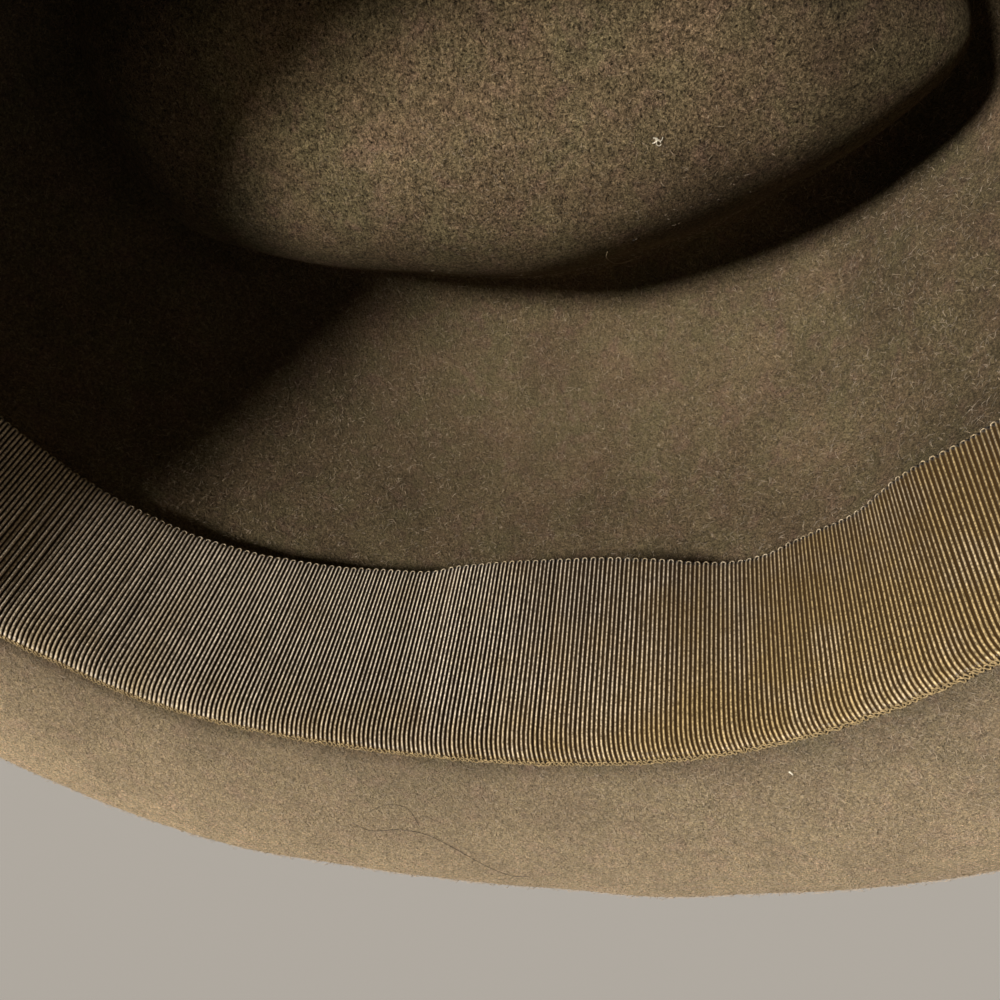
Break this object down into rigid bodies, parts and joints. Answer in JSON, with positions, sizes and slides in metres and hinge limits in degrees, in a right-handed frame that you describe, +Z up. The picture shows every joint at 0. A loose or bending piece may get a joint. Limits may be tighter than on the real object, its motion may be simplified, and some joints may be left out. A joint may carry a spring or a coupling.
{
  "type": "safari fedora hat",
  "caption": "Felt fedora with a teardrop crown dent, curled brim, ribbed sweatband and plain outer ribbon, resting on its crown with the opening up.",
  "frame": {"origin": "on the surface that the ridge of the crown rests on, under the middle of the brim", "axes": "+Z up, out of the head opening; -Y the front of the hat; +X the wearer's right side, because the hat rests crown down"},
  "size_m": [0.3048, 0.3409, 0.1136],
  "materials": {
    "felt": "napped wool felt, matte",
    "sweatband_ribbon": "ribbed grosgrain with a slight sheen",
    "outer_ribbon": "ribbed grosgrain with a slight sheen"
  },
  "bodies": {
    "root": {"felt_body": "felt", "sweatband": "sweatband_ribbon", "hat_band": "outer_ribbon"}
  },
  "joints": []
}
